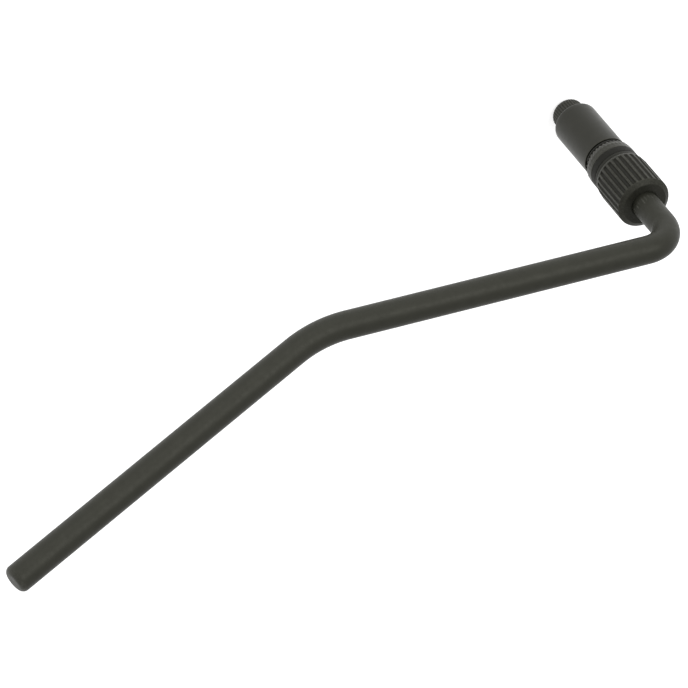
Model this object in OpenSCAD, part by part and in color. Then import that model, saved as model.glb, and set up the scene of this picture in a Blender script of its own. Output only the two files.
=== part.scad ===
// Swivel arm with a push-in socket: the tremolo arm of an electric guitar.
// A bent steel bar turns in a plain sleeve that presses into the bridge. A fluted collar nut
// closes a split collet on the bar and so sets how stiffly the bar turns.
// Lengths are in millimetres and angles in degrees.
// The origin is on the swivel axis, in the seat plane under the sleeve's flange. Z runs up the axis
// towards the first bend, and X runs along the straight part that follows it.

/* [Bar] */
// Diameter of the bar
bar_diameter = 6.0; // [5.6:0.1:6.1]
// Height of the first corner above the seat plane, measured where the centre lines meet
corner_height = 32.6; // [32:0.1:42]
// Distance from the swivel axis to the second corner
reach_length = 81.6; // [60:0.2:110]
// Distance from the second corner to the tip
grip_length = 81.7; // [60:0.2:110]
// Centre line radius of the first bend
first_bend_radius = 7.2; // [6.6:0.1:7.6]
// Centre line radius of the second bend
second_bend_radius = 30.6; // [15:0.2:45]
// Angle of the second bend
grip_bend = 24.1; // [10:0.1:35]
// How far the grip is rolled round the reach, away from the upright plane
grip_roll = 42; // [0:1:60]
// Edge rounding at the tip
tip_rounding = 1.3; // [0.5:0.1:2]
// Diameter of the journal that turns in the bushes
journal_diameter = 5.0; // [4.8:0.05:5.05]

/* [Sleeve] */
// Outside diameter of the sleeve
sleeve_diameter = 10.1; // [10:0.05:10.6]
// Length of the sleeve below the seat plane
sleeve_length = 16.9; // [16.2:0.1:21]
// Edge rounding at the sleeve's lower end
sleeve_rounding = 0.7; // [0.3:0.05:0.75]
// Depth below the seat plane at which the detent groove begins
groove_depth = 0.25; // [0.2:0.05:2]
// Width of the detent groove
groove_width = 1.2; // [0.95:0.05:1.4]
// Diameter of the flange that seats on the bridge
flange_diameter = 11.2; // [11:0.1:11.6]
// Height of the flange
flange_height = 2.7; // [2.2:0.1:3]
// Diameter of the threaded neck over its crests
thread_diameter = 8.9; // [8.7:0.05:8.95]
// Height of the neck above the flange
neck_height = 9.5; // [9:0.1:9.5]

/* [Rings] */
// Outside diameter of the lock ring and the stop ring
ring_diameter = 11.2; // [10.8:0.1:11.6]
// Height of the dark lock ring
lock_ring_height = 1.95; // [1.5:0.05:2]
// Height of the stop ring that the collar nut rests on
stop_ring_height = 1.0; // [0.8:0.05:1]

/* [Collar nut] */
// Outside diameter of the collar nut over its lands
nut_diameter = 12.0; // [11.8:0.1:12.6]
// Height of the collar nut
nut_height = 11.6; // [11.4:0.05:12.2]
// Edge rounding at the end nearest the bend
nut_rounding = 0.9; // [0.6:0.1:1.5]
// Number of grip flutes
flute_count = 27; // [18:1:30]
// Radius of each flute
flute_radius = 0.46; // [0.3:0.02:0.5]
// Diameter of the opening round the bar
nut_opening = 6.3; // [6.3:0.1:8]

/* [End nut] */
// Diameter of the retaining nut
end_nut_diameter = 7.3; // [7.1:0.1:7.6]
// Height of the retaining nut
end_nut_height = 4.8; // [4:0.1:5.5]
// Number of grip serrations on the retaining nut
serration_count = 36; // [24:1:40]

/* [Hidden] */
$fn = 96;
// Running clearance between parts that turn in each other, on the radius
running = 0.05;
// Clearance between parts that only sit against each other
seated = 0.02;
// Extra length that carries a cut past the surface it opens
past = 0.5;

bar_radius = bar_diameter / 2;
// The straights beyond the first bend are this much slimmer than the bends, and run into them
straight_radius = bar_radius - 0.02;
straight_overlap = 0.1;
journal_radius = journal_diameter / 2;
shoulder_height = flange_height - 0.35;
tail_radius = 1.95;
tail_slot_width = 0.8;
tail_slot_depth = 0.7;
tail_setback = 0.4;

sleeve_radius = sleeve_diameter / 2;
flange_radius = flange_diameter / 2;
// The flange widens from its seat over this height
flange_flare = 1.2;
seat_radius = sleeve_radius + 0.4;
neck_top = flange_height + neck_height;
neck_radius = thread_diameter / 2;
neck_chamfer = 0.35;
bore_radius = bar_radius + 0.2;
bush_radius = journal_radius + 1.1;
bush_top = flange_height - 1;
bush_length = 6;
recess_radius = bush_radius + 0.6;
recess_depth = 2.5;
recess_top = recess_depth - sleeve_length;
flange_thickness = 0.6;

wire_radius = 0.4;
wire_gap_angle = 20;
groove_floor = sleeve_radius - 2 * wire_radius;
slot_width = 1.4;
slot_floor = flange_height + 4.1;

ring_radius = ring_diameter / 2;
ring_bore = neck_radius + running;
ring_chamfer = 0.15;
lock_ring_bottom = flange_height + seated;
lock_ring_top = flange_height + lock_ring_height;
stop_ring_bottom = lock_ring_top + seated;
stop_ring_top = stop_ring_bottom + stop_ring_height;

nut_radius = nut_diameter / 2;
nut_bottom = stop_ring_top + running;
nut_top = nut_bottom + nut_height;
nut_bore = neck_radius + running;
rim_chamfer = 0.25;
flute_start = nut_bottom + 0.7;
flute_end = nut_top - nut_rounding + 0.1;
flute_centre = nut_radius + 0.06;

collet_bottom = neck_top + 0.15;
collet_bore = bar_radius + running;
collet_radius = neck_radius - 0.25;
collet_lip = nut_bore + 0.12;
collet_lip_height = 0.5;
collet_shoulder = collet_bottom + 1.75;
collet_top = collet_shoulder + 1.45;
collet_tip_radius = bar_radius + 0.4;
collet_slit = 0.6;
lug_width = slot_width - 0.2;
lug_bottom = slot_floor + 0.2;
lug_inner = bore_radius + running;
lug_outer = collet_radius - 0.15;
lip_room = 0.08;

washer_thickness = 0.8;
washer_bottom = -sleeve_length;
washer_top = washer_bottom + washer_thickness;
washer_radius = recess_radius - 0.3;
spring_thickness = 0.4;
spring_top = recess_top - flange_thickness - running;
spring_bottom = washer_top + seated;
end_nut_radius = end_nut_diameter / 2;
end_nut_top = washer_bottom - seated;
end_nut_bottom = end_nut_top - end_nut_height;
end_nut_rounding = 1.5;
serration_radius = 0.16;
serration_inset = 0.2;
serration_run = end_nut_height - end_nut_rounding - 3 * serration_inset;
thrust_thickness = shoulder_height - bush_top - running;

// Piece to draw

// A ring between two heights.
module ring(outer, inner, bottom, top) {
    translate([0, 0, bottom])
        difference() {
            cylinder(r = outer, h = top - bottom);
            translate([0, 0, -past]) cylinder(r = inner, h = top - bottom + 2 * past);
        }
}

// Half profile of a rod with a rounded upper edge, for turning round the axis.
module rounded_profile(radius, height, rounding) {
    square([radius, height - rounding]);
    square([radius - rounding, height]);
    translate([radius - rounding, height - rounding])
        intersection() {
            circle(r = rounding);
            square(rounding + past);
        }
}

// A rod standing on the origin with a rounded upper edge.
module rounded_rod(radius, height, rounding) {
    rotate_extrude() rounded_profile(radius, height, rounding);
}

// A stretch of bar that starts upwards at the origin and curves towards +X.
module bend(radius, angle) {
    translate([radius, 0, 0]) rotate([90, 0, 180])
        rotate_extrude(angle = angle) translate([radius, 0]) circle(r = bar_radius);
}

// Moves what follows a bend to the bend's far end.
module after_bend(radius, angle) {
    translate([radius * (1 - cos(angle)), 0, radius * sin(angle)]) rotate([0, angle, 0]) children();
}

// The outer part of the bar, from the second bend to the tip.
module grip() {
    set_back = second_bend_radius * tan(grip_bend / 2);
    bend(second_bend_radius, grip_bend);
    after_bend(second_bend_radius, grip_bend)
        translate([0, 0, -straight_overlap])
            rounded_rod(straight_radius, grip_length - set_back + straight_overlap, tip_rounding);
}

// The bent bar with its turned journal and threaded tail.
module bar() {
    arc_start = corner_height - first_bend_radius;
    reach_straight = reach_length - first_bend_radius - second_bend_radius * tan(grip_bend / 2);
    tail_end = end_nut_bottom + tail_setback;
    color([0.16, 0.16, 0.15])
        difference() {
            union() {
                translate([0, 0, tail_end]) cylinder(r = tail_radius, h = washer_top - tail_end);
                translate([0, 0, washer_top])
                    cylinder(r = journal_radius, h = shoulder_height - washer_top);
                translate([0, 0, shoulder_height])
                    cylinder(r = bar_radius, h = arc_start - shoulder_height);
                translate([0, 0, arc_start]) {
                    bend(first_bend_radius, 90);
                    after_bend(first_bend_radius, 90) {
                        translate([0, 0, -straight_overlap])
                            cylinder(r = straight_radius, h = reach_straight + 2 * straight_overlap);
                        translate([0, 0, reach_straight]) rotate([0, 0, 180 - grip_roll]) grip();
                    }
                }
            }
            translate([-bar_diameter, -tail_slot_width / 2, tail_end - past])
                cube([2 * bar_diameter, tail_slot_width, tail_slot_depth + past]);
        }
}

// The serrated nut on the bar's tail.
module retaining_nut() {
    color([0.12, 0.12, 0.11])
        difference() {
            translate([0, 0, end_nut_top]) mirror([0, 0, 1])
                rounded_rod(end_nut_radius, end_nut_height, end_nut_rounding);
            translate([0, 0, end_nut_bottom - past])
                cylinder(r = tail_radius + running, h = end_nut_height + 2 * past);
            for (i = [0 : serration_count - 1])
                rotate([0, 0, i * 360 / serration_count])
                    translate([end_nut_radius, 0, end_nut_bottom + end_nut_rounding + serration_inset])
                        cylinder(r = serration_radius, h = serration_run);
        }
}

// The flat washer between the retaining nut and the disc spring.
module retaining_washer() {
    color([0.55, 0.55, 0.56])
        ring(washer_radius, tail_radius + running, washer_bottom, washer_top - seated);
}

// The coned spring that takes up end play.
module disc_spring() {
    inner = journal_radius + 0.15;
    outer = washer_radius - 0.1;
    color([0.6, 0.6, 0.62])
        rotate_extrude()
            polygon([[inner, spring_top], [inner, spring_top - spring_thickness],
                     [outer, spring_bottom], [outer, spring_bottom + spring_thickness]]);
}

// The sleeve that presses into the bridge, with its flange and its threaded and slotted neck.
module sleeve() {
    color([0.2, 0.2, 0.19])
        difference() {
            union() {
                translate([0, 0, flange_flare]) mirror([0, 0, 1])
                    rounded_rod(sleeve_radius, sleeve_length + flange_flare, sleeve_rounding);
                cylinder(r1 = seat_radius, r2 = flange_radius, h = flange_flare);
                translate([0, 0, flange_flare])
                    cylinder(r = flange_radius, h = flange_height - flange_flare);
                cylinder(r = neck_radius, h = neck_top - neck_chamfer);
                translate([0, 0, neck_top - neck_chamfer])
                    cylinder(r1 = neck_radius, r2 = neck_radius - neck_chamfer, h = neck_chamfer);
            }
            translate([0, 0, bush_top - past])
                cylinder(r = bore_radius, h = neck_top - bush_top + 2 * past);
            translate([0, 0, -sleeve_length - past])
                cylinder(r = bush_radius, h = sleeve_length + bush_top + past);
            translate([0, 0, -sleeve_length - past])
                cylinder(r = recess_radius, h = recess_depth + past);
            ring(sleeve_radius + past, groove_floor, -groove_depth - groove_width, -groove_depth);
            translate([-slot_width / 2, -sleeve_radius, slot_floor])
                cube([slot_width, sleeve_diameter, neck_height]);
        }
}

// The sprung wire ring in the sleeve's groove.
module detent_ring() {
    centre_radius = groove_floor + wire_radius;
    color([0.35, 0.34, 0.32])
        translate([0, 0, -groove_depth - groove_width / 2])
            rotate([0, 0, wire_gap_angle / 2])
                rotate_extrude(angle = 360 - wire_gap_angle)
                    translate([centre_radius, 0]) circle(r = wire_radius - seated);
}

// The dark lock ring on top of the flange.
module lock_ring() {
    color([0.08, 0.08, 0.08]) ring(ring_radius, ring_bore, lock_ring_bottom, lock_ring_top);
}

// The ring above it, which stops the collar nut.
module stop_ring() {
    color([0.13, 0.13, 0.12])
        difference() {
            ring(ring_radius, ring_bore, stop_ring_bottom, stop_ring_top);
            translate([0, 0, stop_ring_top - ring_chamfer])
                difference() {
                    cylinder(r = ring_radius + past, h = ring_chamfer + past);
                    cylinder(r1 = ring_radius, r2 = ring_radius - ring_chamfer - past,
                             h = ring_chamfer + past);
                }
        }
}

// The plain bush under the bar's shoulder.
module upper_bush() {
    color([0.75, 0.73, 0.66])
        ring(bush_radius, journal_radius + running, bush_top - bush_length, bush_top);
}

// The flanged bush at the sleeve's lower end.
module lower_bush() {
    flange_bottom = recess_top - flange_thickness;
    color([0.75, 0.73, 0.66])
        difference() {
            union() {
                translate([0, 0, flange_bottom])
                    cylinder(r = bush_radius, h = bush_length);
                translate([0, 0, flange_bottom])
                    cylinder(r = recess_radius - running, h = flange_thickness - seated);
            }
            translate([0, 0, flange_bottom - past])
                cylinder(r = journal_radius + running, h = bush_length + 2 * past);
        }
}

// The washer that carries the bar's shoulder.
module thrust_washer() {
    color([0.62, 0.6, 0.55])
        ring(bore_radius - running, journal_radius + running, bush_top + seated,
             bush_top + thrust_thickness);
}

// The split collet, with two lugs that keep it from turning with the bar.
module collet() {
    color([0.08, 0.08, 0.08])
        difference() {
            union() {
                translate([0, 0, collet_bottom])
                    cylinder(r = collet_radius, h = collet_shoulder - collet_bottom);
                translate([0, 0, collet_bottom]) cylinder(r = collet_lip, h = collet_lip_height);
                translate([0, 0, collet_shoulder])
                    cylinder(r1 = collet_radius, r2 = collet_tip_radius,
                             h = collet_top - collet_shoulder);
                difference() {
                    intersection() {
                        translate([-lug_width / 2, -lug_outer, lug_bottom])
                            cube([lug_width, 2 * lug_outer, collet_bottom - lug_bottom + past]);
                        translate([0, 0, lug_bottom])
                            cylinder(r = lug_outer, h = collet_bottom - lug_bottom + past);
                    }
                    translate([0, 0, lug_bottom - past])
                        cylinder(r = lug_inner, h = collet_bottom - lug_bottom + past);
                }
            }
            translate([0, 0, collet_bottom - past])
                cylinder(r = collet_bore, h = collet_top - collet_bottom + 2 * past);
            translate([0, -collet_slit / 2, collet_bottom - past])
                cube([2 * collet_radius, collet_slit, collet_top - collet_bottom + 2 * past]);
        }
}

// The fluted collar nut that closes the collet on the bar.
module collar_nut() {
    lip_bottom = collet_bottom - lip_room;
    cone_start = collet_shoulder + running;
    cone_end = collet_top + running;
    color([0.15, 0.15, 0.14])
        difference() {
            translate([0, 0, nut_bottom])
                rounded_rod(nut_radius, nut_height, nut_rounding);
            translate([0, 0, nut_bottom - past])
                difference() {
                    cylinder(r = nut_radius + past, h = past + rim_chamfer);
                    cylinder(r1 = nut_radius - rim_chamfer - past, r2 = nut_radius,
                             h = past + rim_chamfer);
                }
            translate([0, 0, nut_bottom - past])
                cylinder(r = nut_bore, h = cone_start - nut_bottom + past);
            translate([0, 0, lip_bottom])
                cylinder(r = collet_lip + lip_room, h = collet_lip_height + 2 * lip_room);
            translate([0, 0, cone_start])
                cylinder(r1 = collet_radius + running, r2 = collet_tip_radius + running,
                         h = cone_end - cone_start);
            translate([0, 0, cone_end - running])
                cylinder(r = nut_opening / 2, h = nut_top - cone_end + running + past);
            for (i = [0 : flute_count - 1])
                rotate([0, 0, i * 360 / flute_count])
                    translate([flute_centre, 0, flute_start])
                        cylinder(r = flute_radius, h = flute_end - flute_start);
        }
}

bar();
retaining_nut();
retaining_washer();
disc_spring();
sleeve();
detent_ring();
lock_ring();
stop_ring();
upper_bush();
lower_bush();
thrust_washer();
collet();
collar_nut();
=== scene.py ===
# A guitar's tremolo arm with its push-in socket, on a plain pale floor.
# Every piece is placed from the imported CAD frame: metres, origin on the swivel axis in the seat
# plane, +Z up that axis, +X along the bar's first straight.
import math
import random

import bmesh
import bpy
import numpy as np
from mathutils import Matrix, Vector


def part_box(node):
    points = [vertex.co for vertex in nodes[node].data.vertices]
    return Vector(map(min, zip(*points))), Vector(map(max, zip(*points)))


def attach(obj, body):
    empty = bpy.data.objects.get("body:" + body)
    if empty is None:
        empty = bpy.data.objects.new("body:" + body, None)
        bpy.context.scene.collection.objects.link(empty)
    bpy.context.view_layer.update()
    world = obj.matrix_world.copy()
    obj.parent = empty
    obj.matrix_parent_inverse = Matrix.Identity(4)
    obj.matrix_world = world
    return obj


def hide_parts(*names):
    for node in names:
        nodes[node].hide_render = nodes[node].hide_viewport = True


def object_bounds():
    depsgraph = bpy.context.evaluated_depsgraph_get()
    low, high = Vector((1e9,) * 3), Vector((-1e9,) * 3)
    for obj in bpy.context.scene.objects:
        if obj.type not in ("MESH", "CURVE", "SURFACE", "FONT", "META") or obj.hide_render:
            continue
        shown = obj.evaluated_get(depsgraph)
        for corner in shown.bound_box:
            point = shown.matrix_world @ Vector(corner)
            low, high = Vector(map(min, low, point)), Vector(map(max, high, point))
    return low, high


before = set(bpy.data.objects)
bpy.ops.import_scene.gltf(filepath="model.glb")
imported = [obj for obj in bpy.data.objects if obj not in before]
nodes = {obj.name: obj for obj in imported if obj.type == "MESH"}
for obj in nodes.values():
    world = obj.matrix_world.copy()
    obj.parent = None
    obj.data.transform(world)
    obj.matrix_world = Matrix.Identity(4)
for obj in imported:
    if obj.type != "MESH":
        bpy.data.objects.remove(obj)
cad_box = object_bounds()
scene = bpy.context.scene
MM = 0.001


# ---------------------------------------------------------------- mesh helpers

def new_object(name, verts, faces):
    """A smooth shaded mesh object with outward normals."""
    mesh = bpy.data.meshes.new(name)
    mesh.from_pydata([tuple(v) for v in verts], [], [tuple(int(i) for i in f) for f in faces])
    bm = bmesh.new()
    bm.from_mesh(mesh)
    bmesh.ops.recalc_face_normals(bm, faces=bm.faces)
    bm.to_mesh(mesh)
    bm.free()
    mesh.polygons.foreach_set("use_smooth", [True] * len(mesh.polygons))
    obj = bpy.data.objects.new(name, mesh)
    scene.collection.objects.link(obj)
    return obj


def keep_wear_and_highlight(obj, values):
    """Stores one value for each vertex as the attribute wear, which the coats read. It holds worn
    coating, and on the collar nut and the sleeve painted highlights as well.
    """
    kept = obj.data.attributes.new("wear_and_highlight", "FLOAT", "POINT")
    kept.data.foreach_set("value", np.array(values, np.float32))


def rounded(corners, closed=False, arc_steps=5):
    """Turns corners (r, z, fillet, step) into a dense profile. Fillet rounds that corner, and step is
    the longest segment allowed on the way to the next corner, or 0 for no extra points."""
    out = []
    count = len(corners)
    ends = []
    for i, (r, z, fillet, step) in enumerate(corners):
        here = np.array([r, z], float)
        if fillet <= 0 or (not closed and i in (0, count - 1)):
            ends.append([here])
            continue
        before = np.array(corners[i - 1][:2], float)
        after = np.array(corners[(i + 1) % count][:2], float)
        a, b = before - here, after - here
        a, b = a / np.linalg.norm(a), b / np.linalg.norm(b)
        half = math.acos(max(-1.0, min(1.0, float(a @ b)))) / 2
        middle = (a + b) / np.linalg.norm(a + b)
        centre = here + middle * fillet / math.sin(half)
        start = here + a * fillet / math.tan(half) - centre
        end = here + b * fillet / math.tan(half) - centre
        t0, t1 = math.atan2(start[1], start[0]), math.atan2(end[1], end[0])
        turn = (t1 - t0 + math.pi) % (2 * math.pi) - math.pi
        ends.append([centre + fillet * np.array([math.cos(t0 + turn * k / arc_steps),
                                                 math.sin(t0 + turn * k / arc_steps)])
                     for k in range(arc_steps + 1)])
    for i, points in enumerate(ends):
        out.extend(points)
        step = corners[i][3]
        if i == count - 1 and not closed:
            break
        following = ends[(i + 1) % count][0]
        gap = np.linalg.norm(following - points[-1])
        if step and gap > step:
            pieces = int(math.ceil(gap / step))
            out.extend(points[-1] + (following - points[-1]) * k / pieces for k in range(1, pieces))
    return np.array(out)


def lathe(name, profile, angles, shape=None, marks=None):
    """Turns a closed profile (r, z in millimetres) round Z. shape(radius, height, angle) may change
    the radius, and marks(radius, height, angle) gives the wear, with any painted highlights in it."""
    profile, angles = np.asarray(profile, float), np.asarray(angles, float)
    rows, columns = len(profile), len(angles)
    radius = np.repeat(profile[:, :1], columns, 1)
    height = np.repeat(profile[:, 1:], columns, 1)
    turn = np.repeat(angles[None, :], rows, 0)
    wear_and_highlight = marks(radius, height, turn) if marks else np.zeros_like(radius)
    if shape:
        radius = shape(radius, height, turn)
    verts = np.stack([radius * np.cos(turn), radius * np.sin(turn), height], -1).reshape(-1, 3) * MM
    faces = []
    for i in range(rows):
        k = (i + 1) % rows
        for j in range(columns):
            m = (j + 1) % columns
            faces.append((i * columns + j, i * columns + m, k * columns + m, k * columns + j))
    obj = new_object(name, verts, faces)
    keep_wear_and_highlight(obj, wear_and_highlight.reshape(-1))
    return obj


def even(count):
    """Angles that divide a full turn into count equal steps."""
    return np.arange(count) * 2 * math.pi / count


def cut(obj, cutters):
    """Cuts the cutters out of obj for good and removes them."""
    for cutter in cutters:
        modifier = obj.modifiers.new("cut", "BOOLEAN")
        modifier.operation, modifier.solver, modifier.object = "DIFFERENCE", "EXACT", cutter
    bpy.context.view_layer.update()
    result = bpy.data.meshes.new_from_object(
        obj.evaluated_get(bpy.context.evaluated_depsgraph_get()))
    obj.modifiers.clear()
    obj.data = result
    for cutter in cutters:
        bpy.data.objects.remove(cutter)
    sharpen(obj)


def sharpen(obj, angle=38):
    """Keeps edges steeper than angle degrees crisp and the rest smooth."""
    bm = bmesh.new()
    bm.from_mesh(obj.data)
    for edge in bm.edges:
        steep = len(edge.link_faces) == 2 and edge.calc_face_angle(0) > math.radians(angle)
        edge.smooth = not steep
    bm.to_mesh(obj.data)
    bm.free()


def block(name, low, high):
    """A plain box between two corners in millimetres, used only to cut with."""
    (x0, y0, z0), (x1, y1, z1) = low, high
    verts = [(x * MM, y * MM, z * MM) for x in (x0, x1) for y in (y0, y1) for z in (z0, z1)]
    faces = [(0, 1, 3, 2), (4, 6, 7, 5), (0, 4, 5, 1), (2, 3, 7, 6), (0, 2, 6, 4), (1, 5, 7, 3)]
    return new_object(name, verts, faces)


def smooth_least(a, b, width):
    """The smaller of a and b, with the crossing rounded over about width."""
    h = np.clip(0.5 + 0.5 * (b - a) / width, 0, 1)
    return b + (a - b) * h - width * h * (1 - h)


def saw(phase):
    """0 at whole numbers, rising to 1 halfway between them."""
    return 1 - np.abs(2 * (phase - np.floor(phase)) - 1)


def rise(distance, width):
    """0 up to no distance, and from there rising evenly to 1 over width."""
    return np.clip(distance / width, 0, 1)


def peak(distance, width):
    """1 at no distance, fading smoothly to nothing a few widths away."""
    return np.exp(-(distance / width) ** 2)


def direction(azimuth, elevation):
    """The unit vector at these angles, in radians."""
    return Vector((math.cos(elevation) * math.cos(azimuth),
                   math.cos(elevation) * math.sin(azimuth), math.sin(elevation)))


# ---------------------------------------------------------------- material helpers

def material(name):
    """A new material with one Principled shader. Returns it with its node tree and that shader."""
    mat = bpy.data.materials.new(name)
    mat.use_nodes = True
    tree = mat.node_tree
    tree.nodes.clear()
    output = tree.nodes.new("ShaderNodeOutputMaterial")
    shader = tree.nodes.new("ShaderNodeBsdfPrincipled")
    tree.links.new(shader.outputs["BSDF"], output.inputs["Surface"])
    return mat, tree, shader


def noise(tree, scale, detail=3.0, stretch=(1, 1, 1), roughness=0.55):
    """Noise over the object's own metres, stretched by stretch. Returns its value socket."""
    place = tree.nodes.new("ShaderNodeTexCoord")
    mapping = tree.nodes.new("ShaderNodeMapping")
    mapping.inputs["Scale"].default_value = stretch
    texture = tree.nodes.new("ShaderNodeTexNoise")
    texture.inputs["Scale"].default_value = scale
    texture.inputs["Detail"].default_value = detail
    texture.inputs["Roughness"].default_value = roughness
    tree.links.new(place.outputs["Object"], mapping.inputs["Vector"])
    tree.links.new(mapping.outputs["Vector"], texture.inputs["Vector"])
    return texture.outputs["Fac"]


def span(tree, value, low, high, start=0.3, stop=0.7):
    """Maps value from start..stop to low..high and returns the socket."""
    node = tree.nodes.new("ShaderNodeMapRange")
    node.inputs["From Min"].default_value = start
    node.inputs["From Max"].default_value = stop
    node.inputs["To Min"].default_value = low
    node.inputs["To Max"].default_value = high
    tree.links.new(value, node.inputs["Value"])
    return node.outputs["Result"]


def blend_colour(tree, factor, first, second):
    """Mixes two colours, each a tuple or a socket."""
    node = tree.nodes.new("ShaderNodeMix")
    node.data_type = "RGBA"
    tree.links.new(factor, node.inputs[0])
    for socket, value in ((node.inputs[6], first), (node.inputs[7], second)):
        if isinstance(value, tuple):
            socket.default_value = (*value, 1)
        else:
            tree.links.new(value, socket)
    return node.outputs[2]


def arithmetic(tree, operation, first, second):
    """A maths node on two values, each a number or a socket. Returns its result socket."""
    node = tree.nodes.new("ShaderNodeMath")
    node.operation = operation
    for socket, value in ((node.inputs[0], first), (node.inputs[1], second)):
        if isinstance(value, (int, float)):
            socket.default_value = value
        else:
            tree.links.new(value, socket)
    return node.outputs[0]


def attribute(tree, name):
    """The socket that reads a mesh attribute."""
    node = tree.nodes.new("ShaderNodeAttribute")
    node.attribute_name = name
    return node.outputs["Fac"]


def bump(tree, shader, layers):
    """Stacks bump layers of (height socket, strength, distance in metres)."""
    previous = None
    for height, strength, distance in layers:
        node = tree.nodes.new("ShaderNodeBump")
        node.inputs["Strength"].default_value = strength
        node.inputs["Distance"].default_value = distance
        tree.links.new(height, node.inputs["Height"])
        if previous:
            tree.links.new(previous, node.inputs["Normal"])
        previous = node.outputs["Normal"]
    tree.links.new(previous, shader.inputs["Normal"])


# The coatings reflect slightly warm
COAT_TINT = (1.0, 0.99, 0.88, 1.0)
SPECKLE = 0.35
WEAR_MOTTLE = 2600
WORN_SMOOTHER = 0.08
SHEEN_MOTTLE = 2.3
GRAIN_STRENGTH = 0.5
STREAK_STRENGTH = 0.4


def coated_metal(name, dark, light, worn, rough, rough_spread, grain, grain_height,
                 specular, mottle=500, streaks=None, metallic=0.0):
    """A coating or a bare surface. dark and light are its two tones, and worn is the tone where the
    attribute wear is 1, laid on worn coating and, on the collar nut and the sleeve, on painted
    highlights too. grain and mottle are how many noise cells go to a metre, grain_height is in
    metres, and streaks stretches a second noise into drawn marks."""
    mat, tree, shader = material(name)
    patches = span(tree, noise(tree, mottle, 4.0), 0, 1)
    fine = noise(tree, grain, 2.0)
    tone = blend_colour(tree, patches, dark, light)
    speckled = blend_colour(tree, span(tree, fine, 0, SPECKLE), tone, light)
    # the worn tone goes where the coating is worn, and on the collar nut and the sleeve where a
    # highlight is painted
    wear_and_highlight_here = arithmetic(tree, "MULTIPLY", attribute(tree, "wear_and_highlight"),
                           span(tree, noise(tree, WEAR_MOTTLE, 3.0), 0.35, 1, 0.35, 0.6))
    tree.links.new(blend_colour(tree, wear_and_highlight_here, speckled, worn), shader.inputs["Base Color"])
    roughness = span(tree, noise(tree, mottle * SHEEN_MOTTLE, 4.0), rough - rough_spread,
                     rough + rough_spread)
    polish = arithmetic(tree, "MULTIPLY", wear_and_highlight_here, WORN_SMOOTHER)
    tree.links.new(arithmetic(tree, "SUBTRACT", roughness, polish), shader.inputs["Roughness"])
    shader.inputs["Specular IOR Level"].default_value = specular
    shader.inputs["Specular Tint"].default_value = COAT_TINT
    shader.inputs["Metallic"].default_value = metallic
    layers = [(fine, GRAIN_STRENGTH, grain_height)]
    if streaks:
        layers.append((noise(tree, 1.0, 3.0, streaks), STREAK_STRENGTH, grain_height))
    bump(tree, shader, layers)
    return mat


def dress(obj, mat):
    """Gives obj this one material."""
    obj.data.materials.clear()
    obj.data.materials.append(mat)


# ---------------------------------------------------------------- camera

# Where the camera stands round the point that it aims at, in radians and metres, and its lens in
# millimetres
CAMERA_AZIMUTH = math.radians(-62.545)
CAMERA_ELEVATION = math.radians(47.490)
CAMERA_ROLL = math.radians(144.942)
CAMERA_DISTANCE = 0.76645
CAMERA_AIM = Vector((0.071978, 0.012080, 0.023483))
FOCAL_LENGTH = 193.6
SENSOR = 36.0

camera_data = bpy.data.cameras.new("camera")
camera_data.sensor_width = SENSOR
camera_data.lens = FOCAL_LENGTH
camera_data.clip_start = 0.01
camera_data.clip_end = 50
camera = bpy.data.objects.new("camera", camera_data)
scene.collection.objects.link(camera)
towards_camera = direction(CAMERA_AZIMUTH, CAMERA_ELEVATION)
upright = towards_camera.to_track_quat("Z", "Y").to_matrix()
camera.matrix_world = (Matrix.Translation(CAMERA_AIM + towards_camera * CAMERA_DISTANCE)
                       @ (upright @ Matrix.Rotation(CAMERA_ROLL, 3, "Z")).to_4x4())
scene.camera = camera


# ---------------------------------------------------------------- sizes shared with the CAD

def extent(node):
    """A round CAD node's outside radius, lowest and highest z, in millimetres."""
    low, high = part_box(node)
    return (high.x - low.x) / 2 / MM, low.z / MM, high.z / MM


# Millimetres and radians: part.scad's own sizes, or set to fit its pieces
BAR_RADIUS = 3.0
FIRST_BEND = 7.2
CORNER_HEIGHT = 32.6
REACH_LENGTH = 81.6
SECOND_BEND = 30.6
GRIP_BEND = math.radians(24.1)
GRIP_ROLL = math.radians(180 - 42)
GRIP_LENGTH = 81.7
TIP_ROUNDING = 1.3
SHOULDER = 2.35
JOURNAL_RADIUS = 2.5
TAIL_RADIUS = 1.95
TAIL_TOP = -16.1
TAIL_FACE_RING = 0.9
TAIL_SLOT_WIDTH = 0.8
TAIL_SLOT_DEPTH = 0.7

SLEEVE_RADIUS = 5.05
SEAT_RADIUS = 5.45
FLANGE_FLARE = 1.2
FLANGE_TOP = 2.7
THREAD_PITCH = 0.75
GROOVE_TOP = -0.25
GROOVE_BOTTOM = -1.45
GROOVE_FLOOR = 4.25
SLOT_FLOOR = 6.8
SLOT_WIDTH = 1.4
BORE_RADIUS = 3.2
BUSH_RADIUS = 3.6
BUSH_TOP = 1.7
RECESS_RADIUS = 4.2
RECESS_TOP = -14.4
WIRE_GAP = math.radians(20)
WIRE_RADIUS = 0.4

FLUTES = 27
FLUTE_RADIUS = 0.46
NUT_BORE = 4.5
LIP_BOTTOM = 12.25
LIP_TOP = 12.95
LIP_RADIUS = 4.72
CONE_START = 14.12
CONE_END = 15.62
CONE_RADIUS = 4.28
CONE_TIP_RADIUS = 3.48

bar_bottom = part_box("bar")[0].z / MM
flange_radius, sleeve_bottom, sleeve_top = extent("sleeve")
nut_radius, nut_bottom, nut_top = extent("collar_nut")
knob_radius, knob_bottom, knob_top = extent("retaining_nut")


# ---------------------------------------------------------------- bar

# Wear runs from 0, as new, to 1. Lengths are millimetres, and the scuffs' half angle is in degrees.
# The seed was picked so that chance puts scuffs near the few that the photograph shows
TIP_WEAR = 0.35
RUBBED_HEIGHT = 1.4
RUBBED_SPREAD = 0.9
RUBBED_WEAR = 0.10
SCUFF_COUNT = 27
SCUFF_SEED = 3269
SCUFF_HALF_ANGLE = 2.2
SCUFFED_LENGTH = 4.5


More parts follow.
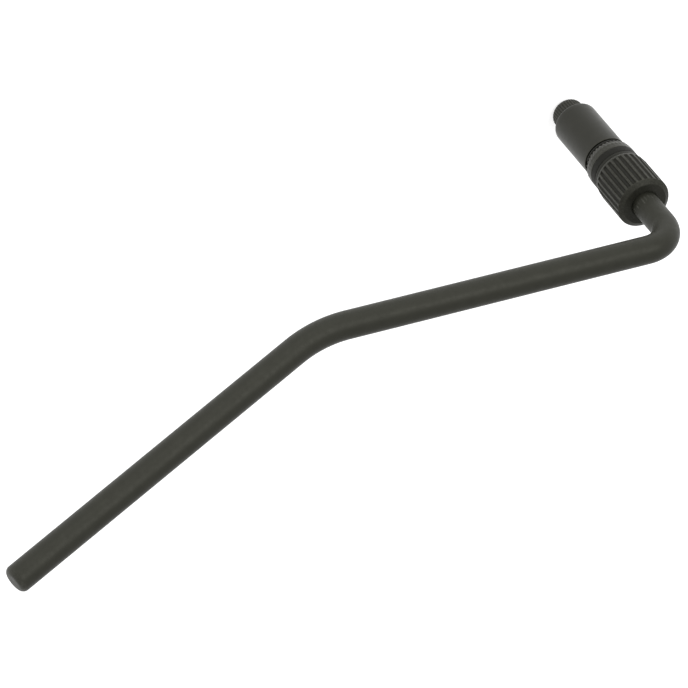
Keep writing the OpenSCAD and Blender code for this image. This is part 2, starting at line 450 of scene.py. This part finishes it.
def swept(name, rings, count, marks=None):
    """Skins rings of (matrix, radius, wear) given in millimetres and closes both ends. marks(point)
    gives more wear at a point."""
    turn = even(count)
    verts, wear_and_highlight, faces = [], [], []
    for place, radius, mark in rings:
        for angle in turn:
            point = place @ Vector((radius * math.cos(angle), radius * math.sin(angle), 0))
            verts.append(point)
            wear_and_highlight.append(min(1.0, mark + (marks(point) if marks else 0)))
    for i in range(len(rings) - 1):
        for j in range(count):
            k = (j + 1) % count
            faces.append((i * count + j, i * count + k, (i + 1) * count + k, (i + 1) * count + j))
    for i in (0, len(rings) - 1):
        hub = len(verts)
        verts.append(rings[i][0].translation.copy())
        wear_and_highlight.append(0.0)
        faces.extend((hub, i * count + j, i * count + (j + 1) % count) for j in range(count))
    obj = new_object(name, [v * MM for v in verts], faces)
    keep_wear_and_highlight(obj, wear_and_highlight)
    return obj


def scattered_scuffs():
    """Short scuffs left round the bar by the collar nut, as (angle, height above the nut, half
    length, depth), in degrees and millimetres."""
    chance = random.Random(SCUFF_SEED)
    pitch = 360 / SCUFF_COUNT
    return [(i * pitch - 180 + chance.uniform(-0.35, 0.35) * pitch, chance.uniform(1.0, 2.1),
             chance.uniform(0.5, 0.9), chance.uniform(0.35, 1.0)) for i in range(SCUFF_COUNT)]


SCUFFS = scattered_scuffs()


def bar_marks(point):
    """Scuffs and a faint rubbed band on the bar just above the collar nut."""
    above = point.z - nut_top
    if not 0 < above < SCUFFED_LENGTH or math.hypot(point.x, point.y) > BAR_RADIUS + 0.1:
        return 0.0
    angle = math.degrees(math.atan2(point.y, point.x))
    total = RUBBED_WEAR * math.exp(-((above - RUBBED_HEIGHT) / RUBBED_SPREAD) ** 2)
    for centre, height, half, depth in SCUFFS:
        off = (angle - centre + 180) % 360 - 180
        total += depth * math.exp(-(off / SCUFF_HALF_ANGLE) ** 2 - ((above - height) / half) ** 4)
    return total


def lift(height):
    """A move by height along Z."""
    return Matrix.Translation((0, 0, height))


def bend_rings(base, radius, angle, steps):
    """Rings round a bend towards base's own +X."""
    rings = []
    for k in range(1, steps + 1):
        a = angle * k / steps
        place = (base @ Matrix.Translation((radius * (1 - math.cos(a)), 0, radius * math.sin(a)))
                 @ Matrix.Rotation(a, 4, "Y"))
        rings.append((place, BAR_RADIUS, 0.0))
    return rings


def straight_rings(base, length, steps):
    """Rings along base's own +Z."""
    return [(base @ lift(length * k / steps), BAR_RADIUS, 0.0) for k in range(1, steps + 1)]


def tip_rings(base, steps):
    """The rounded edge at the grip's end and the flat face inside it."""
    rings = []
    for k in range(1, steps + 1):
        a = math.pi / 2 * k / steps
        rings.append((base @ lift(TIP_ROUNDING * math.sin(a)),
                      BAR_RADIUS - TIP_ROUNDING * (1 - math.cos(a)), TIP_WEAR * math.sin(2 * a)))
    for share in (0.66, 0.33):
        rings.append((base @ lift(TIP_ROUNDING), (BAR_RADIUS - TIP_ROUNDING) * share, 0.0))
    return rings


def bar_rings():
    """Rings along the bar, from its threaded tail to the tip of the grip."""
    upright_end = CORNER_HEIGHT - FIRST_BEND
    upright = rounded([(TAIL_FACE_RING, bar_bottom, 0, 0), (TAIL_RADIUS, bar_bottom, 0.25, 0.4),
                       (TAIL_RADIUS, TAIL_TOP, 0, 0), (JOURNAL_RADIUS, TAIL_TOP, 0.12, 1),
                       (JOURNAL_RADIUS, SHOULDER, 0, 0), (BAR_RADIUS, SHOULDER, 0.15, 0.5),
                       (BAR_RADIUS, nut_top, 0, 0.2), (BAR_RADIUS, nut_top + 5, 0, 0.5),
                       (BAR_RADIUS, upright_end, 0, 0)])
    set_back = SECOND_BEND * math.tan(GRIP_BEND / 2)
    rings = [(lift(z), r, 0.0) for r, z in upright]
    rings += bend_rings(lift(upright_end), FIRST_BEND, math.pi / 2, 40)
    rings += straight_rings(rings[-1][0], REACH_LENGTH - FIRST_BEND - set_back, 34)
    # The roll turns the second bend's plane, and the rings turn back so that the skin isn't twisted
    grip = bend_rings(rings[-1][0] @ Matrix.Rotation(GRIP_ROLL, 4, "Z"), SECOND_BEND, GRIP_BEND, 24)
    grip += straight_rings(grip[-1][0], GRIP_LENGTH - set_back - TIP_ROUNDING, 38)
    grip += tip_rings(grip[-1][0], 12)
    untwist = Matrix.Rotation(-GRIP_ROLL, 4, "Z")
    return rings + [(place @ untwist, radius, wear_and_highlight) for place, radius, wear_and_highlight in grip]


bar = swept("bent_bar", bar_rings(), 180, bar_marks)
cut(bar, [block("cutter", (-BAR_RADIUS, -TAIL_SLOT_WIDTH / 2, bar_bottom - 1),
                (BAR_RADIUS, TAIL_SLOT_WIDTH / 2, bar_bottom + TAIL_SLOT_DEPTH))])


# ---------------------------------------------------------------- collar nut

# Detail beyond the CAD nut's, in millimetres, and how worn each part of the nut is, with painted
# highlights on the rim and along the land edges
NUT_OPENING = 3.07
NUT_TAPER = 0.13
TAPER_HEIGHT = 2.2
RIM_INSET = 0.27
FACE_EDGE = 1.12
FLUTE_PITCH = 2 * math.pi / FLUTES
FLUTE_CENTRE = nut_radius + 0.06
FLUTE_RUNOUT = 0.22
FLUTE_EDGE_ROUNDING = 0.07
LAND_WEAR = 0.42
LAND_EDGE_WEAR_AND_HIGHLIGHT = 0.35
BAND_WEAR = 0.36
RIM_HIGHLIGHT = 0.6
FACE_WEAR = 0.18
flute_start, flute_end = nut_bottom + 0.7, nut_top - 0.8


def flute_angles():
    """Angles round the nut, closest together at the edges of the flutes."""
    reach = math.asin(FLUTE_RADIUS / FLUTE_CENTRE)
    shares = np.array([0, 0.3, 0.55, 0.75, 0.88, 0.97, 1.03, 1.12, 1.3])
    half = np.concatenate([-shares[:0:-1], shares]) * reach
    return np.concatenate([half + i * FLUTE_PITCH for i in range(FLUTES)])


def from_flute(turn):
    """The angle from the middle of the nearest flute."""
    return turn - np.round(turn / FLUTE_PITCH) * FLUTE_PITCH


def nut_shape(radius, height, turn):
    """Flutes with steep rounded ends cut into the nut's outside, their edges rounded over."""
    off = from_flute(turn)
    past_end = FLUTE_RADIUS / FLUTE_RUNOUT * np.maximum(0, np.maximum(
        flute_start + FLUTE_RUNOUT - height, height - flute_end + FLUTE_RUNOUT))
    room = FLUTE_RADIUS ** 2 - (FLUTE_CENTRE * np.sin(off)) ** 2 - past_end ** 2
    floor = np.where(room > 0, FLUTE_CENTRE * np.cos(off) - np.sqrt(np.maximum(room, 0)),
                     FLUTE_CENTRE)
    cut_to = smooth_least(radius, floor, FLUTE_EDGE_ROUNDING)
    return np.where(radius > nut_radius - 1, cut_to, radius)


def nut_marks(radius, height, turn):
    """Where fingers have rubbed the coating: the lands and most of all their edges, the band beyond
    the flutes, and a little on the end face. The extra light line on the land edges is partly wear
    and partly a painted highlight, and the light line round the rim is a painted highlight."""
    off = np.abs(from_flute(turn)) * nut_radius
    outside = radius > nut_radius - 0.3
    inside = (height > flute_start - 0.1) & (height < flute_end + 0.1)
    corner = (height > flute_end) & (radius > nut_radius - 1.05)
    face = (height > nut_top - 0.25) & (radius < nut_radius - 1.05) & (radius > NUT_OPENING)
    land = LAND_WEAR * rise(off - FLUTE_RADIUS + 0.04, 0.08) * outside
    # the land edges: partly worn, partly a painted highlight
    edge = LAND_EDGE_WEAR_AND_HIGHLIGHT * peak(off - FLUTE_RADIUS - 0.03, 0.09) * outside
    band = BAND_WEAR * (outside & ~inside | corner)
    # painted highlight: a light line round the nut's lower rim
    rim = RIM_HIGHLIGHT * peak(height - nut_bottom - 0.1, 0.14) * (radius > nut_radius - 0.4)
    return np.clip((land + edge) * inside + band + rim + FACE_WEAR * face, 0, 1)


nut_profile = rounded([
    (NUT_BORE, nut_bottom, 0.1, 0.6), (nut_radius - RIM_INSET, nut_bottom, 0.1, 0.1),
    (nut_radius - NUT_TAPER, nut_bottom + 0.6, 0, 0.1),
    (nut_radius, nut_bottom + TAPER_HEIGHT, 0, 0.5), (nut_radius, flute_end - 0.6, 0, 0.06),
    (nut_radius, nut_top - 0.72, 0.3, 0.12), (nut_radius - FACE_EDGE, nut_top, 0.2, 0.3),
    (NUT_OPENING, nut_top, 0.1, 0.3), (NUT_OPENING, CONE_END, 0, 0),
    (CONE_TIP_RADIUS, CONE_END, 0, 0.4), (CONE_RADIUS, CONE_START, 0, 0),
    (NUT_BORE, CONE_START, 0, 0), (NUT_BORE, LIP_TOP, 0, 0), (LIP_RADIUS, LIP_TOP, 0, 0),
    (LIP_RADIUS, LIP_BOTTOM, 0, 0), (NUT_BORE, LIP_BOTTOM, 0, 1)], closed=True, arc_steps=7)
nut = lathe("fluted_collar_nut", nut_profile, flute_angles(), nut_shape, nut_marks)
sharpen(nut, 50)


# ---------------------------------------------------------------- sleeve

# Detail beyond the CAD sleeve's, in millimetres, and how worn each part of the sleeve is, with
# painted glints on the flange's tooth tips
THREAD_CREST = 4.43
THREAD_DEPTH = 0.34
THREAD_ROOT_WIDENING = 1.25
THREAD_CREST_FLAT = 0.1
NECK_CHAMFER = 0.35
FLANGE_TEETH = 38
FLANGE_TOOTH = 0.34
UPPER_TOOTH_SHARE = 0.12
FLANGE_WEAR = 0.30
TOOTH_WEAR_AND_GLINT = 1.0
GROOVE_EDGE_WEAR = 0.4
LOWER_EDGE_WEAR = 0.06
thread_start = FLANGE_TOP + 2.45


def sleeve_shape(radius, height, turn):
    """A toothed lower edge on the flange, and a right-handed thread on the neck that runs out at
    both ends."""
    phase = height / THREAD_PITCH - turn / (2 * math.pi)
    depth = THREAD_DEPTH * np.clip(THREAD_ROOT_WIDENING * (1 - saw(phase)) - THREAD_CREST_FLAT, 0, 1)
    ends = rise(height - thread_start, 0.4) * rise(sleeve_top + 0.2 - height, 0.5)
    thread = (radius > THREAD_CREST - 0.43) & (height > thread_start)
    tooth = 1 - saw(turn * FLANGE_TEETH / (2 * math.pi)) ** 0.8
    fade = rise(FLANGE_FLARE - height, FLANGE_FLARE) ** 1.5 + UPPER_TOOTH_SHARE * (height < 2.0)
    flange = (radius > SEAT_RADIUS - 0.1) & (height > -0.01) & (height < FLANGE_TOP)
    return (radius - np.where(thread, depth * ends, 0)
            - np.where(flange, FLANGE_TOOTH * tooth * fade, 0))


def sleeve_marks(radius, height, turn):
    """Where the plating has worn: the flange and its teeth, and the sleeve's edges. The tooth tips by
    the groove are lighter still, partly as wear and partly as painted glints.
    """
    outside = radius > SLEEVE_RADIUS - 0.2
    flange = (height > 0) & (height < FLANGE_TOP) & outside
    # painted glints, partly wear: the flange's tooth tips next to the groove made lighter
    tips = saw(turn * FLANGE_TEETH / (2 * math.pi)) ** 3 * peak(height, 0.5)
    edges = (GROOVE_EDGE_WEAR * peak(height - GROOVE_BOTTOM, 0.1)
             + LOWER_EDGE_WEAR * peak(height - sleeve_bottom - 0.3, 0.35))
    return np.clip((FLANGE_WEAR + TOOTH_WEAR_AND_GLINT * tips) * flange + edges * outside, 0, 1)


sleeve_profile = rounded([
    (RECESS_RADIUS, sleeve_bottom, 0.05, 0.3), (SLEEVE_RADIUS, sleeve_bottom, 0.7, 1.0),
    (SLEEVE_RADIUS, GROOVE_BOTTOM, 0.07, 0.2), (GROOVE_FLOOR, GROOVE_BOTTOM, 0.1, 0.2),
    (GROOVE_FLOOR, GROOVE_TOP, 0.1, 0.2), (SLEEVE_RADIUS, GROOVE_TOP, 0.05, 0.1),
    (SLEEVE_RADIUS, 0, 0, 0), (SEAT_RADIUS, 0, 0.06, 0.12),
    (flange_radius, FLANGE_FLARE, 0.3, 0.15), (flange_radius, FLANGE_TOP, 0.1, 0.3),
    (THREAD_CREST, FLANGE_TOP, 0.03, 1.0), (THREAD_CREST, thread_start, 0, THREAD_PITCH / 12),
    (THREAD_CREST, sleeve_top - NECK_CHAMFER, 0, 0.07),
    (THREAD_CREST - NECK_CHAMFER, sleeve_top, 0, 0.4), (BORE_RADIUS, sleeve_top, 0.1, 1.0),
    (BORE_RADIUS, BUSH_TOP, 0, 0.5), (BUSH_RADIUS, BUSH_TOP, 0, 2),
    (BUSH_RADIUS, RECESS_TOP, 0, 0.4), (RECESS_RADIUS, RECESS_TOP, 0, 1)], closed=True)
sleeve = lathe("sleeve_with_thread", sleeve_profile, even(FLANGE_TEETH * 8), sleeve_shape,
               sleeve_marks)
cut(sleeve, [block("cutter", (-SLOT_WIDTH / 2, -6, SLOT_FLOOR), (SLOT_WIDTH / 2, 6, sleeve_top + 1))])


# ---------------------------------------------------------------- rings

# How finely the rings and the wire are divided, and how the wire's ends narrow
RING_COLUMNS = 144
WIRE_COLUMNS = 20
WIRE_STATIONS = 150
WIRE_END_STATIONS = 4
WIRE_END_LENGTH = 0.16
WIRE_END_SHARE = 0.55

ring_radius, lock_bottom, lock_top = extent("lock_ring")
lock_ring = lathe("lock_ring_dull", rounded([
    (NUT_BORE, lock_bottom, 0.05, 0.3), (ring_radius, lock_bottom, 0.16, 0.25),
    (ring_radius, lock_top, 0.2, 0.3), (NUT_BORE, lock_top, 0.08, 0.6)], closed=True),
    even(RING_COLUMNS))
sharpen(lock_ring, 50)

_, stop_bottom, stop_top = extent("stop_ring")
stop_ring = lathe("stop_ring_satin", rounded([
    (NUT_BORE, stop_bottom, 0.05, 0.4), (ring_radius, stop_bottom, 0.1, 0.25),
    (ring_radius, stop_top, 0.2, 0.3), (NUT_BORE, stop_top, 0.05, 0.5)], closed=True),
    even(RING_COLUMNS))
sharpen(stop_ring, 50)


def detent_wire():
    """The sprung wire in the groove, open by the same gap as the CAD ring, its ends rounded."""
    low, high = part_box("detent_ring")
    middle_height = (low.z + high.z) / 2 / MM
    wire_radius = (high.z - low.z) / 2 / MM
    middle = GROOVE_FLOOR + WIRE_RADIUS
    first = WIRE_GAP / 2
    taper = WIRE_END_LENGTH / middle

    def station(turn, radius):
        place = (Matrix.Rotation(turn, 4, "Z") @ Matrix.Translation((middle, 0, middle_height))
                 @ Matrix.Rotation(-math.pi / 2, 4, "X"))
        return place, radius, 0.0

    def end_radius(share):
        return wire_radius * (WIRE_END_SHARE + (1 - WIRE_END_SHARE) * math.sin(math.pi / 2 * share))

    shares = [k / WIRE_END_STATIONS for k in range(WIRE_END_STATIONS)]
    run = 2 * math.pi - WIRE_GAP - 2 * taper
    rings = [station(first + taper * share, end_radius(share)) for share in shares]
    rings += [station(first + taper + run * k / WIRE_STATIONS, wire_radius)
              for k in range(WIRE_STATIONS + 1)]
    rings += [station(2 * math.pi - first - taper * share, end_radius(share))
              for share in reversed(shares)]
    return swept("detent_wire", rings, WIRE_COLUMNS)


detent = detent_wire()


# ---------------------------------------------------------------- retaining nut

KNURL_TEETH = 36
KNURL_DEPTH = 0.16
KNURL_WEAR = 0.6
KNOB_BORE = 2.0


def knurl_shape(radius, height, turn):
    """Fine straight knurling that fades out at the rounded end."""
    outside = radius > knob_radius - 1.1
    run = rise(height - knob_bottom - 0.25, 0.7) * rise(knob_top - 0.1 - height, 0.2)
    across = saw(turn * KNURL_TEETH / (2 * math.pi)) ** 0.8
    return radius - np.where(outside, KNURL_DEPTH * (1 - across) * run, 0)


def knurl_marks(radius, height, turn):
    """The knurl's tips, rubbed by fingers."""
    outside = radius > knob_radius - 1.1
    return np.where(outside, KNURL_WEAR * saw(turn * KNURL_TEETH / (2 * math.pi)) ** 3, 0)


knob = lathe("knurled_retaining_nut", rounded([
    (KNOB_BORE, knob_bottom + 0.02, 0.06, 0.1), (knob_radius, knob_bottom, 1.45, 0.12),
    (knob_radius, knob_bottom + 2.0, 0, 0.5), (knob_radius, knob_top - 0.5, 0, 0.1),
    (knob_radius, knob_top, 0.12, 0.4), (KNOB_BORE, knob_top, 0.1, 0.8)], closed=True, arc_steps=8),
    even(KNURL_TEETH * 8), knurl_shape, knurl_marks)
sharpen(knob, 60)


# ---------------------------------------------------------------- materials

bar_coat = coated_metal(
    "satin_black_coat", dark=(0.0130, 0.0133, 0.0094), light=(0.0170, 0.0174, 0.0127),
    worn=(0.070, 0.070, 0.060), rough=0.48, rough_spread=0.05, grain=3600,
    grain_height=0.000008, specular=0.28, mottle=420)
sleeve_coat = coated_metal(
    "smooth_dark_plate", dark=(0.0085, 0.0085, 0.0058), light=(0.0120, 0.0120, 0.0088),
    worn=(0.050, 0.049, 0.040), rough=0.36, rough_spread=0.04, grain=3200,
    grain_height=0.000004, specular=0.26, mottle=420, streaks=(2500, 2500, 90))
nut_coat = coated_metal(
    "matt_black_coat", dark=(0.0070, 0.0071, 0.0050), light=(0.0105, 0.0107, 0.0078),
    worn=(0.055, 0.055, 0.045), rough=0.48, rough_spread=0.07, grain=5200,
    grain_height=0.000012, specular=0.17, mottle=900)
knob_coat = coated_metal(
    "knurled_black_coat", dark=(0.0085, 0.0086, 0.0058), light=(0.0140, 0.0142, 0.0104),
    worn=(0.060, 0.060, 0.049), rough=0.48, rough_spread=0.07, grain=5200,
    grain_height=0.000012, specular=0.24, mottle=900)
dull_black = coated_metal(
    "dull_black_nylon", dark=(0.0024, 0.0024, 0.0017), light=(0.0045, 0.0045, 0.0034),
    worn=(0.02, 0.02, 0.018), rough=0.60, rough_spread=0.08, grain=4200,
    grain_height=0.000012, specular=0.18, mottle=1100)
spring_wire = coated_metal(
    "blackened_spring_wire", dark=(0.0022, 0.0022, 0.0016), light=(0.0045, 0.0044, 0.0034),
    worn=(0.05, 0.05, 0.045), rough=0.45, rough_spread=0.06, grain=5000,
    grain_height=0.000006, specular=0.20, mottle=1500)
steel = coated_metal(
    "turned_steel", dark=(0.20, 0.20, 0.205), light=(0.29, 0.29, 0.295), worn=(0.5, 0.5, 0.5),
    rough=0.32, rough_spread=0.06, grain=6000, grain_height=0.000005, specular=0.5,
    streaks=(400, 400, 9000), metallic=1.0)
bronze = coated_metal(
    "bare_bronze", dark=(0.42, 0.27, 0.12), light=(0.55, 0.37, 0.18), worn=(0.7, 0.5, 0.3),
    rough=0.36, rough_spread=0.07, grain=6000, grain_height=0.000006, specular=0.5,
    streaks=(400, 400, 9000), metallic=1.0)
nylon = coated_metal(
    "natural_nylon", dark=(0.52, 0.49, 0.40), light=(0.64, 0.61, 0.52), worn=(0.7, 0.68, 0.6),
    rough=0.5, rough_spread=0.06, grain=3000, grain_height=0.000012, specular=0.45, mottle=900)

for piece, coat, body, node, slot in (
        (bar, bar_coat, "arm", "bar", "bar_finish"),
        (knob, knob_coat, "arm", "retaining_nut", "nut_finish"),
        (sleeve, sleeve_coat, "socket", "sleeve", "sleeve_finish"),
        (detent, spring_wire, "socket", "detent_ring", "spring_steel"),
        (lock_ring, dull_black, "socket", "lock_ring", "lock_black"),
        (stop_ring, nut_coat, "socket", "stop_ring", "nut_finish"),
        (nut, nut_coat, "collar", "collar_nut", "nut_finish")):
    dress(piece, coat)
    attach(piece, body)
    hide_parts(node)

for node, coat in (("upper_bush", nylon), ("lower_bush", nylon), ("thrust_washer", bronze),
                   ("collet", dull_black), ("disc_spring", steel), ("retaining_washer", steel)):
    dress(nodes[node], coat)


# ---------------------------------------------------------------- floor and light

FLOOR_SIZE = 6.0
FLOOR_GLOW = 0.62
WORLD_STRENGTH = 0.86
LIGHT_DISTANCE = 1.2
LIGHT_SIZE = 0.7

floor_height = cad_box[0].z
floor = new_object("floor", [(x * FLOOR_SIZE, y * FLOOR_SIZE, floor_height)
                             for x, y in ((-1, -1), (1, -1), (1, 1), (-1, 1))], [(0, 1, 2, 3)])
floor_paint, floor_tree, floor_shader = material("pale_floor")
floor_tone = blend_colour(floor_tree, span(floor_tree, noise(floor_tree, 3.0), 0, 1),
                          (0.62, 0.62, 0.62), (0.66, 0.66, 0.66))
floor_tree.links.new(floor_tone, floor_shader.inputs["Base Color"])
floor_shader.inputs["Roughness"].default_value = 0.9
floor_shader.inputs["Specular IOR Level"].default_value = 0.1
floor_shader.inputs["Emission Color"].default_value = (1, 1, 1, 1)
floor_shader.inputs["Emission Strength"].default_value = FLOOR_GLOW
dress(floor, floor_paint)

world = bpy.data.worlds.new("studio")
scene.world = world
world.use_nodes = True
background = world.node_tree.nodes["Background"]
background.inputs["Color"].default_value = (1, 1, 1, 1)
background.inputs["Strength"].default_value = WORLD_STRENGTH


def soft_light(name, azimuth, elevation, power):
    """A square area light that faces the object, at angles in degrees."""
    data = bpy.data.lights.new(name, "AREA")
    data.shape, data.size, data.energy = "SQUARE", LIGHT_SIZE, power
    lamp = bpy.data.objects.new(name, data)
    scene.collection.objects.link(lamp)
    away = direction(math.radians(azimuth), math.radians(elevation))
    lamp.matrix_world = (Matrix.Translation(CAMERA_AIM + away * LIGHT_DISTANCE)
                         @ away.to_track_quat("Z", "Y").to_matrix().to_4x4())
    lamp.visible_camera = False


soft_light("overhead", -118, 48, 5)
soft_light("side", -92, 8, 3)

scene.view_settings.view_transform = "Standard"
scene.view_settings.look = "None"
